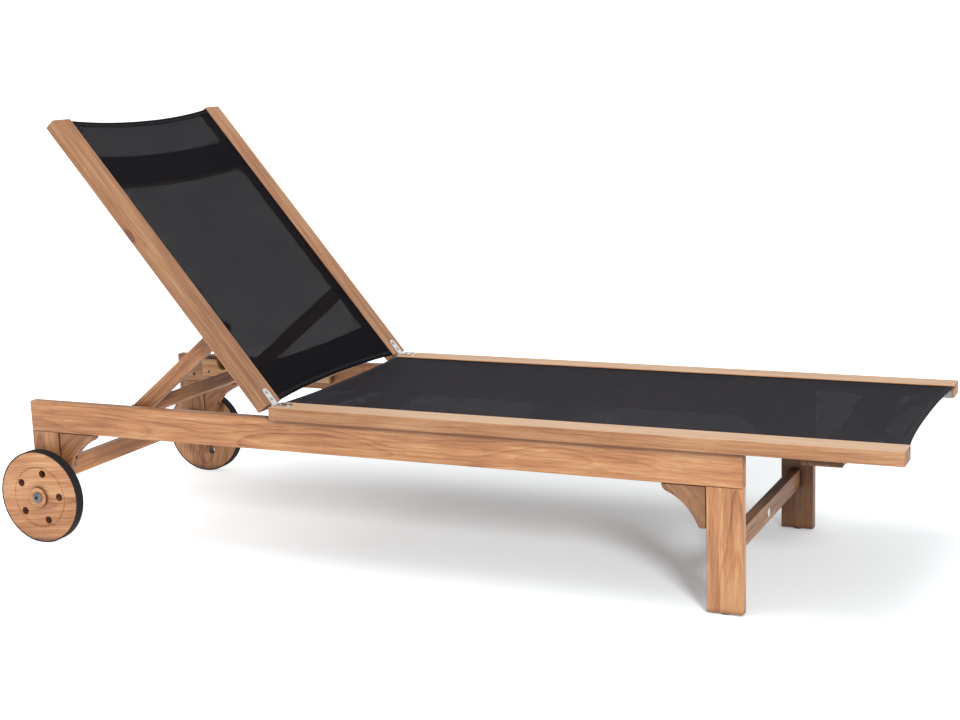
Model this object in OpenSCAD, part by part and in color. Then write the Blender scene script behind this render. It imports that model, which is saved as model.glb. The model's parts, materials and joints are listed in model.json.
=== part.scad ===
// Reclining sun lounger: teak frame on two wheels, woven slings, backrest held by a notched rack.
// +X points to the foot end, +Y to the user's left, +Z up. The ground is Z = 0.
// The origin is on the ground, under the middle of the whole lounger.

/* [Whole lounger] */
// Length from the head end of the lower rails to the foot end of the seat rails
frame_l = 1982; // [1900:1:2050]
// Width across the seat rails
seat_w = 650; // [640:1:700]
// Height of the seat rails' top face
seat_top = 352; // [345:1:365]
// Edge rounding of the timber
edge_r = 2.5; // [1:0.5:4]

/* [Lower frame] */
// Width across the lower rails
base_w = 612; // [604:1:618]
// Length of the lower rails
base_l = 1680; // [1640:1:1720]
// Height of the lower rails
lower_rail_h = 71; // [60:1:75]
// Thickness of lower rails, legs and stretchers
board_t = 24; // [22:1:28]
// Width of the legs along the lounger
leg_w = 72; // [68:1:76]
// Height of the foot stretcher above the ground
foot_stretcher_z = 98; // [60:1:130]
// Height of both stretchers, top to bottom
stretcher_h = 42; // [34:1:46]
// Reach of the foot brackets along the rail
foot_bracket_l = 90; // [84:1:96]
// Reach of the head brackets along the rail
head_bracket_l = 99; // [90:1:104]
// Drop of the corner brackets along the leg
bracket_h = 85; // [81:1:90]
// Thickness of the corner brackets
bracket_t = 20; // [16:1:22]

/* [Seat and backrest] */
// Width of the seat and backrest side rails
rail_w = 60; // [56:1:64]
// Thickness of the seat side rails
seat_rail_t = 28; // [27:1:32]
// Thickness of the backrest side rails
back_rail_t = 27; // [25:1:27]
// Distance from the head end of the lower rails to the backrest hinge
hinge_from_head = 653; // [640:1:665]
// Length of the backrest
back_l = 792; // [760:1:820]
// Backrest angle above the horizontal at rest
back_angle = 50.5; // [45:0.5:56]
// Width of the bowed cross slats
slat_w = 78; // [70:1:84]
// Thickness of the bowed cross slats
slat_t = 16; // [14:1:18]

/* [Prop and rack] */
// Distance from the hinge to the prop pivot, along the backrest
pivot_from_hinge = 212; // [205:1:220]
// Pivot to the middle of the prop's crossbar
prop_l = 314; // [308:1:320]
// Angle of the prop below the horizontal at rest
prop_angle = 39.2; // [37:0.1:41]
// Width of the prop's arms
prop_arm_w = 33; // [30:1:34]
// Thickness of the prop's arms
prop_arm_t = 18; // [14:1:18]
// Number of notches in each rack
notch_n = 5; // [3:1:6]
// Distance from one notch to the next
notch_pitch = 55; // [50:1:58]

/* [Wheels] */
// Outer radius of the tyres
wheel_r = 108; // [100:1:110]
// Thickness of the rubber tyre
tyre_t = 3.2; // [2.5:0.1:4]
// Thickness of the wooden wheel
wheel_t = 22; // [20:1:28]
// Wheel centre from the head end of the lower rails
wheel_x = 36; // [34:1:38]
// Radius of the axle bolts
axle_r = 5; // [4:0.5:6]

/* [Hidden] */
$fn = 64;
eps = 0.01;

// Places along X, from the wheels at the head end to the seat's foot end
head_x = (wheel_r - wheel_x - frame_l) / 2;
foot_x = head_x + frame_l;
base_foot_x = head_x + base_l;
hinge_x = head_x + hinge_from_head;
axle_x = head_x + wheel_x;
foot_leg_x = base_foot_x - leg_w;

// Places across Y, on the left side; the right side mirrors them
base_y = base_w / 2;
board_in_y = base_y - board_t;
seat_y = seat_w / 2;
rail_in_y = seat_y - rail_w;
rail_mid_y = seat_y - rail_w / 2;

// Heights
seat_bottom = seat_top - seat_rail_t;
lower_top = seat_bottom;
lower_bottom = lower_top - lower_rail_h;
glide_h = 3;

// Hinge: the axis lies one half leaf above the rails' top faces
leaf_t = 2;
leaf_l = 42;
leaf_w = 20;
leaf_screw_at = [14, 32];
knuckle_r = 3.2;
knuckle_gap = 0.3;
knuckle_w = 5;
pin_r = 1.5;
pin_clear = 0.05;
knuckle_room = 1;
butt_gap = 1;
back_butt_gap = 4;
axis_z = seat_top + leaf_t / 2;

// Sling: a panel held by a cord in a groove along each rail
sling_t = 1.2;
sling_drop = 3.5;
slot_h = 2;
cord_r = 3;
groove_r = 3.5;
groove_in = 8;
groove_drop = 6;
seat_sling_in = 2;
back_sling_end = 4;

// Slats are arcs of a wide circle: chord across, bow downwards
seat_slat_bow = 34;
foot_slat_bow = 26;
back_slat_bow = 20;
slat_top_at = 650;
slat_bottom_at = 64;
back_slat_drop = 6;

// Lower frame details
bracket_recess = 3;
bracket_cut_past = 32;
bracket_cut_v = 119;
bracket_nose_r = 18;
bracket_nose_overlap = 0.3;
bracket_toe_r = 8;
bracket_toe_in = 80;
bracket_gap_w = 2;
bracket_gap_d = 6;
head_leg_bottom = 62;
head_leg_r = 30;
head_stretcher_z = 130;
stretcher_x = leg_w / 2 - 1;
foot_stretcher_set = 4;
foot_stretcher_x = foot_leg_x + stretcher_x - foot_stretcher_set;
glide_r = 10;
badge_r = 9;
badge_t = 1.2;

// Rack
rack_t = 18;
rack_h = 43;
rack_x = head_x + 86;
rack_l = 378;
rack_top = lower_top - 8;
notch_w = 25;
notch_depth = 25;
notch_lean = 20;

// Prop: the pivot is fixed to the backrest, the crossbar ends clear of the racks
pivot_drop = 21;
pivot_r = 3;
pivot_clear = 0.05;
prop_eye_r = 15;
prop_eye_in = 4;
crossbar_w = 30;
crossbar_t = 18;
rack_clear = 1.5;
washer_t = 10;
washer_clear = 0.5;
arm_out_y = rail_in_y - washer_t - washer_clear;
pivot_x = hinge_x - pivot_from_hinge * cos(back_angle) - (pivot_drop + leaf_t / 2) * sin(back_angle);
pivot_z = axis_z + pivot_from_hinge * sin(back_angle) - (pivot_drop + leaf_t / 2) * cos(back_angle);
crossbar_x = pivot_x - prop_l * cos(prop_angle);

// Wheels
wheel_in_y = base_y + 18;
wheel_out_y = wheel_in_y + wheel_t;
boss_h = 6;
boss_r = 23;
bush_r = 8;
axle_clear = 0.05;
side_clear = 0.4;
disc_r = wheel_r - tyre_t;
hole_n = 5;
hole_r = 9;
hole_ring_r = 57;
hole_start = 4;
cap_r = 12;
cap_t = 3.5;

// Colours
teak = [0.78, 0.56, 0.38];
teak_light = [0.85, 0.66, 0.46];
mesh_black = [0.16, 0.15, 0.17];
steel = [0.72, 0.73, 0.74];
rubber = [0.08, 0.09, 0.09];

// Draws its children on the left side, or mirrored to the right one
module side(left) {
    mirror([0, left ? 0 : 1, 0]) children();
}

module both_sides() {
    side(true) children();
    side(false) children();
}

// Draws its children in the backrest's own frame: the hinge axis at 0, lying flat along -X
module in_backrest() {
    translate([hinge_x, 0, axis_z]) rotate([0, back_angle, 0]) children();
}

// Draws its children in the prop's own frame: the pivot at 0, pointing along -X
module in_prop() {
    translate([pivot_x, 0, pivot_z]) rotate([0, -prop_angle, 0]) children();
}

// A rectangle with round corners made of true arcs
module round_rect(w, h, r) {
    translate([r, 0]) square([w - 2 * r, h]);
    translate([0, r]) square([w, h - 2 * r]);
    for (x = [r, w - r], y = [r, h - r]) translate([x, y]) circle(r);
}

// A board along X with its long edges rounded
module board_x(at, size) {
    translate(at) rotate([90, 0, 90]) linear_extrude(size.x) round_rect(size.y, size.z, edge_r);
}

// A board along Y with its long edges rounded
module board_y(at, size) {
    translate(at) translate([0, size.y, 0]) rotate([90, 0, 0])
        linear_extrude(size.y) round_rect(size.x, size.z, edge_r);
}

// A board along Z with its long edges rounded
module board_z(at, size) {
    translate(at) linear_extrude(size.z) round_rect(size.x, size.y, edge_r);
}

// A round bar or hole along one axis
module rod_x(at, r, l) { translate(at) rotate([0, 90, 0]) cylinder(r = r, h = l); }
module rod_y(at, r, l) { translate(at) rotate([-90, 0, 0]) cylinder(r = r, h = l); }
module rod_z(at, r, l) { translate(at) cylinder(r = r, h = l); }

// The cord groove and its slot, cut along a rail whose top face is at z
module sling_groove(x, l, z) {
    rod_x([x - 1, rail_in_y + groove_in, z - groove_drop], groove_r, l + 2);
    translate([x - 1, rail_in_y - 1, z - sling_drop - slot_h / 2]) cube([l + 2, groove_in + 1, slot_h]);
}

// The cord and the sling's edge, as they sit in the groove
module sling_cord(x, l, z) {
    rod_x([x, rail_in_y + groove_in, z - groove_drop], cord_r, l);
}

module sling_panel(x, l, z) {
    half = rail_in_y + groove_in - cord_r + 0.5;
    translate([x, -half, z - sling_drop - sling_t / 2]) cube([l, 2 * half, sling_t]);
}

// A bowed slat along Y: its ends are level at z and its middle hangs lower by the bow
module bowed_slat(x, z, w, t, half, bow) {
    r = (half * half + bow * bow) / (2 * bow);
    translate([x, 0, 0]) rotate([90, 0, 90]) linear_extrude(w) intersection() {
        difference() {
            translate([0, z + r - bow + t]) circle(r + t, $fn = 720);
            translate([0, z + r - bow + t]) circle(r, $fn = 720);
        }
        translate([-half, z - bow - t]) square([2 * half, bow + 3 * t]);
    }
}

// ---- Lower frame ----

module lower_rail(left) {
    color(teak) side(left) difference() {
        board_x([head_x, board_in_y, lower_bottom], [base_l, board_t, lower_rail_h]);
        leg_bolt_holes();
        frame_screw_holes();
    }
}

// Each leg is drawn up by two bolts into barrel nuts in the rail
leg_bolt_r = 3;
barrel_r = 4.5;
barrel_l = 14;
leg_bolt_at = [leg_w / 2 - 11, leg_w / 2 + 11];
barrel_up = [27, 19];
leg_bolt_foot = 45;

module leg_bolt_holes() {
    for (x0 = [head_x, foot_leg_x], i = [0, 1]) {
        rod_z([x0 + leg_bolt_at[i], base_y - board_t / 2, lower_bottom - 1], leg_bolt_r, barrel_up[i] + 1);
        rod_y([x0 + leg_bolt_at[i], board_in_y - 1, lower_bottom + barrel_up[i]], barrel_r, barrel_l + 1);
    }
}

module leg_bolts() {
    color(steel) both_sides() for (x0 = [head_x, foot_leg_x], i = [0, 1])
        rod_z([x0 + leg_bolt_at[i], base_y - board_t / 2, lower_bottom - leg_bolt_foot],
            leg_bolt_r, leg_bolt_foot + barrel_up[i] - barrel_r);
}

module barrel_nuts() {
    color(steel) both_sides() for (x0 = [head_x, foot_leg_x], i = [0, 1])
        rod_y([x0 + leg_bolt_at[i], board_in_y + 2, lower_bottom + barrel_up[i]], barrel_r, barrel_l - 2);
}

module leg_bolt_sockets(x0) {
    for (i = [0, 1])
        rod_z([x0 + leg_bolt_at[i], base_y - board_t / 2, lower_bottom - leg_bolt_foot],
            leg_bolt_r, leg_bolt_foot + 1);
}

// Screws up through the lower rails hold the seat rails down
frame_screw_r = 2.5;
frame_screw_l = 70;
frame_screw_x = [hinge_x + 60, (hinge_x + base_foot_x) / 2, base_foot_x - 110];
frame_screw_z = seat_top - 10 - frame_screw_l;

module frame_screw_holes() {
    for (x = frame_screw_x) {
        rod_z([x, base_y - board_t / 2, frame_screw_z], frame_screw_r, frame_screw_l);
        rod_z([x, base_y - board_t / 2, lower_bottom - 1], 2 * frame_screw_r, frame_screw_z - lower_bottom + 1);
    }
}

module frame_screws() {
    color(steel) both_sides() for (x = frame_screw_x)
        rod_z([x, base_y - board_t / 2, frame_screw_z], frame_screw_r, frame_screw_l);
}

module head_leg(left) {
    z = head_leg_bottom;
    color(teak) side(left) difference() {
        translate([head_x, base_y, 0]) rotate([90, 0, 0]) linear_extrude(board_t) {
            translate([0, z + head_leg_r]) square([leg_w, lower_bottom - z - head_leg_r]);
            translate([head_leg_r, z]) square([leg_w - 2 * head_leg_r, head_leg_r + 1]);
            for (x = [head_leg_r, leg_w - head_leg_r]) translate([x, z + head_leg_r]) circle(head_leg_r);
        }
        rod_y([axle_x, board_in_y - 1, wheel_r], axle_r, board_t + 2);
        leg_bolt_sockets(head_x);
    }
}

module foot_leg(left) {
    color(teak) side(left) difference() {
        board_z([foot_leg_x, board_in_y, glide_h], [leg_w, board_t, lower_bottom - glide_h]);
        leg_bolt_sockets(foot_leg_x);
    }
}

module foot_glides() {
    color(rubber) both_sides()
        rod_z([foot_leg_x + leg_w / 2, base_y - board_t / 2, 0], glide_r, glide_h);
}

module head_stretcher() {
    color(teak) board_y([head_x + stretcher_x - board_t / 2, -board_in_y, head_stretcher_z],
        [board_t, 2 * board_in_y, stretcher_h]);
}

module foot_stretcher() {
    color(teak) board_y([foot_stretcher_x - board_t / 2, -board_in_y, foot_stretcher_z],
        [board_t, 2 * board_in_y, stretcher_h]);
}

module blank_badge() {
    color(steel) rod_x([foot_stretcher_x + board_t / 2, 0, foot_stretcher_z + stretcher_h / 2],
        badge_r, badge_t);
}

// Bracket outline: the leg is at u = 0 and the rail above at v = 0, with v pointing down.
// A hollow curve runs from the toe into the round nose.
module bracket_outline(l) {
    nose_at = [l - bracket_nose_r, 0];
    cut_at = [l + bracket_cut_past, bracket_cut_v];
    toe_at = [l - bracket_toe_in, bracket_h - bracket_toe_r];
    nose_to_cut = norm(cut_at - nose_at);
    meet_u = nose_at.x + (cut_at.x - nose_at.x) * bracket_nose_r / nose_to_cut;
    difference() {
        square([l, bracket_h]);
        translate(cut_at) circle(nose_to_cut - bracket_nose_r + bracket_nose_overlap, $fn = 128);
        difference() {
            translate([meet_u, -1]) square(2 * bracket_nose_r);
            translate(nose_at) circle(bracket_nose_r);
        }
        difference() {
            translate(toe_at) square(2 * bracket_toe_r);
            translate(toe_at) circle(bracket_toe_r);
        }
    }
}

// Shallow shadow gaps along the leg and along the rail, in both faces
module bracket_gaps(l) {
    for (y = [bracket_y - 1, bracket_y + bracket_t - bracket_gap_d]) {
        translate([-1, y, -bracket_h - 1]) cube([bracket_gap_w + 1, bracket_gap_d + 1, bracket_h + 2]);
        translate([-1, y, -bracket_gap_w]) cube([l + 2, bracket_gap_d + 1, bracket_gap_w + 1]);
    }
}

// Screw places on the bracket: one into the leg, one into the rail
bracket_leg_screw_v = 58;
bracket_rail_screw_u = 56;
bracket_screw_depth = 13;
bracket_screw_r = 2;
bracket_bore_r = 4.5;
bracket_head_h = 3;
bracket_y = base_y - bracket_recess - bracket_t;
bracket_mid_y = bracket_y + bracket_t / 2;

// One bracket on the foot side of the head leg; the foot leg's bracket mirrors it along X
module bracket(l) {
    difference() {
        translate([0, bracket_y + bracket_t, 0]) rotate([90, 0, 0]) linear_extrude(bracket_t)
            mirror([0, 1]) bracket_outline(l);
        bracket_gaps(l);
        rod_x([-1, bracket_mid_y, -bracket_leg_screw_v], bracket_screw_r, l);
        rod_x([bracket_screw_depth, bracket_mid_y, -bracket_leg_screw_v], bracket_bore_r, l);
        rod_z([bracket_rail_screw_u, bracket_mid_y, -bracket_h], bracket_screw_r, bracket_h + 1);
        rod_z([bracket_rail_screw_u, bracket_mid_y, -bracket_h - bracket_screw_depth],
            bracket_bore_r, bracket_h);
    }
}

module bracket_screw_pair() {
    rod_x([0, bracket_mid_y, -bracket_leg_screw_v], bracket_screw_r, bracket_screw_depth);
    rod_x([bracket_screw_depth, bracket_mid_y, -bracket_leg_screw_v], bracket_bore_r - 0.5, bracket_head_h);
    rod_z([bracket_rail_screw_u, bracket_mid_y, -bracket_screw_depth], bracket_screw_r, bracket_screw_depth);
    rod_z([bracket_rail_screw_u, bracket_mid_y, -bracket_screw_depth - bracket_head_h],
        bracket_bore_r - 0.5, bracket_head_h);
}

module at_head_bracket() { translate([head_x + leg_w, 0, lower_bottom]) children(); }
module at_foot_bracket() { translate([foot_leg_x, 0, lower_bottom]) mirror([1, 0, 0]) children(); }

module head_bracket(left) { color(teak) side(left) at_head_bracket() bracket(head_bracket_l); }
module foot_bracket(left) { color(teak) side(left) at_foot_bracket() bracket(foot_bracket_l); }

module bracket_screws() {
    color(steel) both_sides() {
        at_head_bracket() bracket_screw_pair();
        at_foot_bracket() bracket_screw_pair();
    }
}

// ---- Racks ----

rack_screw_at = [20, rack_l / 2 - 4, rack_l - 30];
rack_screw_r = 2;
rack_head_r = 3.5;
rack_head_t = 1.5;
rack_screw_z = rack_top - rack_h + 12;
first_notch = 2;

module notch() {
    translate([0, board_in_y + 1, rack_top - notch_depth + notch_w / 2]) rotate([90, -notch_lean, 0])
        linear_extrude(rack_t + 2) {
            circle(notch_w / 2);
            translate([-notch_w / 2, 0]) square([notch_w, 3 * notch_depth]);
        }
}

module rack(left) {
    color(teak_light) side(left) difference() {
        board_x([rack_x, board_in_y - rack_t, rack_top - rack_h], [rack_l, rack_t, rack_h]);
        for (i = [0 : notch_n - 1]) translate([crossbar_x + (i - first_notch) * notch_pitch, 0, 0]) notch();
        for (x = rack_screw_at) {
            rod_y([rack_x + x, board_in_y - rack_t - 1, rack_screw_z], rack_screw_r, rack_t + 2);
            rod_y([rack_x + x, board_in_y - rack_t - 1, rack_screw_z], rack_head_r, rack_head_t + 1);
        }
    }
}

module rack_screws() {
    color(steel) both_sides() for (x = rack_screw_at) {
        rod_y([rack_x + x, board_in_y - rack_t + rack_head_t, rack_screw_z], rack_screw_r, rack_t - rack_head_t);
        rod_y([rack_x + x, board_in_y - rack_t + 0.5, rack_screw_z], rack_head_r, rack_head_t - 0.5);
    }
}

// ---- Seat ----

module seat_rail(left) {
    l = foot_x - hinge_x - butt_gap;
    color(teak) side(left) difference() {
        board_x([hinge_x + butt_gap, rail_in_y, seat_bottom], [l, rail_w, seat_rail_t]);
        sling_groove(hinge_x + butt_gap, l, seat_top);
        rod_y([hinge_x, rail_mid_y - leaf_w / 2 - knuckle_room, axis_z],
            knuckle_r + knuckle_room, leaf_w + 2 * knuckle_room);
        seat_leaf_screw_holes();
        frame_screw_holes();
    }
}

slat_between = [hinge_x + 34, (hinge_x + base_foot_x) / 2 - 60];
seat_slat_z = lower_top - slat_t - 6;
foot_slat_x = head_x + 1789;
foot_slat_inset = 25;

module seat_slat(i) {
    color(teak) bowed_slat(slat_between[i], seat_slat_z, slat_w, slat_t, board_in_y, seat_slat_bow);
}

module seat_slat_foot() {
    half = seat_y - foot_slat_inset;
    land = half - rail_in_y;
    color(teak) {
        bowed_slat(foot_slat_x, seat_bottom - slat_t, slat_w, slat_t, rail_in_y + eps, foot_slat_bow);
        for (y = [-half, rail_in_y])
            board_y([foot_slat_x, y, seat_bottom - slat_t], [slat_w, land, slat_t]);
    }
}

// A curved aluminium bar on edge under the sling: its middle lies further in along the lounger
// than its ends, and each end has a round tab against the rail
spreader_w = 6;
spreader_h = 12;
spreader_bow = 75;
spreader_z = seat_top - 18;
spreader_in = 13;
tab_r = 9.5;
tab_t = 4;

module spreader_bar() {
    r = (rail_in_y * rail_in_y + spreader_bow * spreader_bow) / (2 * spreader_bow);
    color(steel) {
        translate([r - spreader_bow, 0, spreader_z - spreader_h / 2]) linear_extrude(spreader_h) intersection() {
            difference() {
                circle(r + spreader_w / 2, $fn = 720);
                circle(r - spreader_w / 2, $fn = 720);
            }
            translate([-r - spreader_w, -rail_in_y]) square([2 * spreader_bow, 2 * rail_in_y]);
        }
        both_sides() rod_y([0, rail_in_y - tab_t, spreader_z], tab_r, tab_t);
    }
}

module spreader_bar_head() { translate([hinge_x + spreader_in, 0, 0]) mirror([1, 0, 0]) spreader_bar(); }
module spreader_bar_foot() { translate([foot_x - spreader_in, 0, 0]) spreader_bar(); }

module seat_sling() {
    color(mesh_black) sling_panel(hinge_x + seat_sling_in, foot_x - hinge_x - 2 * seat_sling_in, seat_top);
}

module seat_sling_cords() {
    color(mesh_black) both_sides()
        sling_cord(hinge_x + seat_sling_in, foot_x - hinge_x - 2 * seat_sling_in, seat_top);
}

// ---- Hinges ----

// A leaf lying along +X on the top face, its knuckles round the axis at 0
module leaf(knuckles) {
    difference() {
        union() {
            translate([0, 0, -leaf_t / 2]) linear_extrude(leaf_t) {
                translate([knuckle_r, -leaf_w / 2]) square([leaf_l - leaf_w / 2 - knuckle_r, leaf_w]);
                translate([leaf_l - leaf_w / 2, 0]) circle(leaf_w / 2);
            }
            for (k = knuckles) {
                rod_y([0, k[0], 0], knuckle_r, k[1]);
                translate([0, k[0], -leaf_t / 2]) cube([knuckle_r + 1, k[1], leaf_t]);
            }
        }
        rod_y([0, -leaf_w, 0], len(knuckles) > 1 ? pin_r : pin_r + pin_clear, 2 * leaf_w);
        for (x = leaf_screw_at) rod_z([x, 0, -leaf_t], leaf_screw_r, 2 * leaf_t);
    }
}

leaf_screw_r = 2.2;
leaf_head_r = 4;
leaf_head_t = 1;
leaf_screw_l = 14;

// Countersunk screws, drawn for a leaf along +X
module leaf_screws() {
    for (x = leaf_screw_at) {
        rod_z([x, 0, -leaf_screw_l], leaf_screw_r, leaf_screw_l + leaf_t / 2);
        rod_z([x, 0, leaf_t / 2], leaf_head_r, leaf_head_t);
    }
}

module leaf_screw_pilots() {
    for (x = leaf_screw_at) rod_z([x, 0, -leaf_screw_l], leaf_screw_r, leaf_screw_l + leaf_t);
}

module at_seat_leaf() { translate([hinge_x, rail_mid_y, axis_z]) children(); }
module at_back_leaf() { in_backrest() translate([0, rail_mid_y, 0]) mirror([1, 0, 0]) children(); }
module seat_leaf_screw_holes() { at_seat_leaf() leaf_screw_pilots(); }

outer_knuckles = [[-leaf_w / 2, knuckle_w], [leaf_w / 2 - knuckle_w, knuckle_w]];
inner_knuckle = [[-leaf_w / 2 + knuckle_w + knuckle_gap, leaf_w - 2 * knuckle_w - 2 * knuckle_gap]];

module seat_leaf(left) { color(steel) side(left) at_seat_leaf() leaf(outer_knuckles); }
module back_leaf(left) { color(steel) side(left) at_back_leaf() leaf(inner_knuckle); }
module seat_hinge_screws() { color(steel) both_sides() at_seat_leaf() leaf_screws(); }
module back_hinge_screws() { color(steel) both_sides() at_back_leaf() leaf_screws(); }
module hinge_pins() { color(steel) both_sides() at_seat_leaf() rod_y([0, -leaf_w / 2, 0], pin_r, leaf_w); }

// ---- Backrest ----

back_face = -leaf_t / 2;

module back_rail(left) {
    color(teak) side(left) in_backrest() difference() {
        board_x([-back_l, rail_in_y, back_face - back_rail_t], [back_l - back_butt_gap, rail_w, back_rail_t]);
        sling_groove(-back_l, back_l, back_face);
        rod_y([0, rail_mid_y - leaf_w / 2 - knuckle_room, 0],
            knuckle_r + knuckle_room, leaf_w + 2 * knuckle_room);
        translate([0, rail_mid_y, 0]) mirror([1, 0, 0]) leaf_screw_pilots();
        rod_y([-pivot_from_hinge, rail_in_y - 1, back_face - pivot_drop], pivot_r, pivot_grip + 1);
    }
}

module back_slat(at) {
    color(teak) in_backrest()
        bowed_slat(-at - slat_w / 2, back_face - back_slat_drop - slat_t, slat_w, slat_t,
            rail_in_y, back_slat_bow);
}

module back_sling() {
    color(mesh_black) in_backrest()
        sling_panel(-back_l + back_sling_end, back_l - 2 * back_sling_end - 2, back_face);
}

module back_sling_cords() {
    color(mesh_black) in_backrest() both_sides()
        sling_cord(-back_l + back_sling_end, back_l - 2 * back_sling_end - 2, back_face);
}

// ---- Prop ----

pivot_grip = 30;
bolt_head_r = 7;
bolt_head_t = 3;

// Bolts in the backrest rails, with a washer next to the rail and a head inside the arm
module prop_pivot_bolts() {
    color(steel) both_sides() in_backrest() translate([-pivot_from_hinge, 0, back_face - pivot_drop]) {
        head_y = arm_out_y - prop_arm_t - washer_clear - bolt_head_t;
        rod_y([0, head_y, 0], pivot_r, rail_in_y + pivot_grip - head_y);
        rod_y([0, head_y, 0], bolt_head_r, bolt_head_t);
        rod_y([0, rail_in_y - washer_t, 0], bolt_head_r, washer_t);
    }
}

module prop_arm(left) {
    end = prop_l - crossbar_t / 2;
    color(teak) side(left) in_prop() difference() {
        translate([0, arm_out_y, 0]) rotate([90, 0, 0]) linear_extrude(prop_arm_t) {
            circle(prop_eye_r);
            translate([-end, prop_eye_r - prop_arm_w]) square([end - prop_eye_in, prop_arm_w]);
        }
        rod_y([0, arm_out_y - prop_arm_t - 1, 0], pivot_r + pivot_clear, prop_arm_t + 2);
        rod_x([-end - 1, arm_out_y - prop_arm_t / 2, 0], prop_screw_r, prop_screw_l + 1);
    }
}

prop_screw_r = 2.5;
prop_screw_l = 40;
prop_head_r = 5;
prop_head_t = 2;

module prop_crossbar() {
    half = board_in_y - rack_t - rack_clear;
    color(teak) in_prop() difference() {
        board_y([-prop_l - crossbar_t / 2, -half, -crossbar_w / 2], [crossbar_t, 2 * half, crossbar_w]);
        both_sides() rod_x([-prop_l - crossbar_t, arm_out_y - prop_arm_t / 2, 0], prop_screw_r, 2 * crossbar_t);
        both_sides() rod_x([-prop_l - crossbar_t, arm_out_y - prop_arm_t / 2, 0], prop_head_r,
            crossbar_t / 2 + prop_head_t);
    }
}

module prop_screws() {
    color(steel) in_prop() both_sides() {
        rod_x([-prop_l - crossbar_t / 2, arm_out_y - prop_arm_t / 2, 0], prop_head_r, prop_head_t);
        rod_x([-prop_l - crossbar_t / 2, arm_out_y - prop_arm_t / 2, 0], prop_screw_r,
            crossbar_t + prop_screw_l);
    }
}

// ---- Wheels and axles ----

module axle_bolt(left) {
    y = board_in_y;
    color(steel) side(left) {
        rod_y([axle_x, y - 5, wheel_r], axle_r, wheel_out_y + boss_h + side_clear + cap_t - y + 4);
        rod_y([axle_x, y - 5, wheel_r], axle_r + 3, 5);
    }
}

module axle_spacers() {
    color(steel) both_sides() difference() {
        rod_y([axle_x, base_y, wheel_r], bush_r, wheel_in_y - base_y - side_clear);
        rod_y([axle_x, base_y - 1, wheel_r], axle_r, wheel_in_y - base_y + 2);
    }
}

module axle_caps() {
    y = wheel_out_y + boss_h + side_clear;
    color(steel) both_sides() difference() {
        rod_y([axle_x, y, wheel_r], cap_r, cap_t);
        rod_y([axle_x, y - 1, wheel_r], axle_r, cap_t + 2);
    }
}

module at_wheel(left) {
    side(left) translate([axle_x, wheel_in_y, wheel_r]) rotate([-90, 0, 0]) children();
}

// The wooden wheel is drawn with its inner face at 0 and its boss outwards
module wheel(left) {
    groove_at = 70;
    groove_w = 6;
    groove_d = 1.6;
    color(teak_light) at_wheel(left) difference() {
        union() {
            cylinder(r = disc_r, h = wheel_t, $fn = 128);
            cylinder(r = boss_r, h = wheel_t + boss_h);
        }
        translate([0, 0, -1]) cylinder(r = bush_r, h = wheel_t + boss_h + 2);
        for (i = [0 : hole_n - 1]) rotate([0, 0, -hole_start - 360 / hole_n * i])
            translate([hole_ring_r, 0, -1]) cylinder(r = hole_r, h = wheel_t + 2);
        rotate_extrude($fn = 128) translate([groove_at, wheel_t])
            polygon([[-groove_w / 2, eps], [groove_w / 2, eps], [0, -groove_d]]);
    }
}

module tyre(left) {
    color(rubber) at_wheel(left) difference() {
        cylinder(r = wheel_r, h = wheel_t, $fn = 128);
        translate([0, 0, -1]) cylinder(r = disc_r, h = wheel_t + 2, $fn = 128);
    }
}

module hub_bush(left) {
    color(steel) at_wheel(left) difference() {
        cylinder(r = bush_r, h = wheel_t + boss_h);
        translate([0, 0, -1]) cylinder(r = axle_r + axle_clear, h = wheel_t + boss_h + 2);
    }
}

lower_rail(true);  // lower_rail_left
lower_rail(false);  // lower_rail_right
head_leg(true);  // head_leg_left
head_leg(false);  // head_leg_right
foot_leg(true);  // foot_leg_left
foot_leg(false);  // foot_leg_right
head_stretcher();
foot_stretcher();
head_bracket(true);  // head_bracket_left
head_bracket(false);  // head_bracket_right
foot_bracket(true);  // foot_bracket_left
foot_bracket(false);  // foot_bracket_right
rack(true);  // rack_left
rack(false);  // rack_right
seat_rail(true);  // seat_rail_left
seat_rail(false);  // seat_rail_right
seat_slat(0);  // seat_slat_head
seat_slat(1);  // seat_slat_middle
seat_slat_foot();
spreader_bar_head();
spreader_bar_foot();
seat_sling();
seat_sling_cords();
seat_leaf(true);  // seat_leaf_left
seat_leaf(false);  // seat_leaf_right
hinge_pins();
seat_hinge_screws();
axle_bolt(true);  // axle_bolt_left
axle_bolt(false);  // axle_bolt_right
axle_spacers();
axle_caps();
foot_glides();
bracket_screws();
rack_screws();
leg_bolts();
barrel_nuts();
frame_screws();
blank_badge();
back_rail(true);  // back_rail_left
back_rail(false);  // back_rail_right
back_slat(slat_top_at);  // back_slat_top
back_slat(slat_bottom_at);  // back_slat_bottom
back_sling();
back_sling_cords();
back_leaf(true);  // back_leaf_left
back_leaf(false);  // back_leaf_right
back_hinge_screws();
prop_pivot_bolts();
prop_arm(true);  // prop_arm_left
prop_arm(false);  // prop_arm_right
prop_crossbar();
prop_screws();
wheel(true);  // wheel_left
wheel(false);  // wheel_right
tyre(true);  // tyre_left
tyre(false);  // tyre_right
hub_bush(true);  // hub_bush_left
hub_bush(false);  // hub_bush_right
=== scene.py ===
"""Reclining sun lounger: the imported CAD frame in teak, steel, rubber and woven mesh, in metres."""

import json
import math

import bpy
from mathutils import Matrix, Vector, noise


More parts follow.
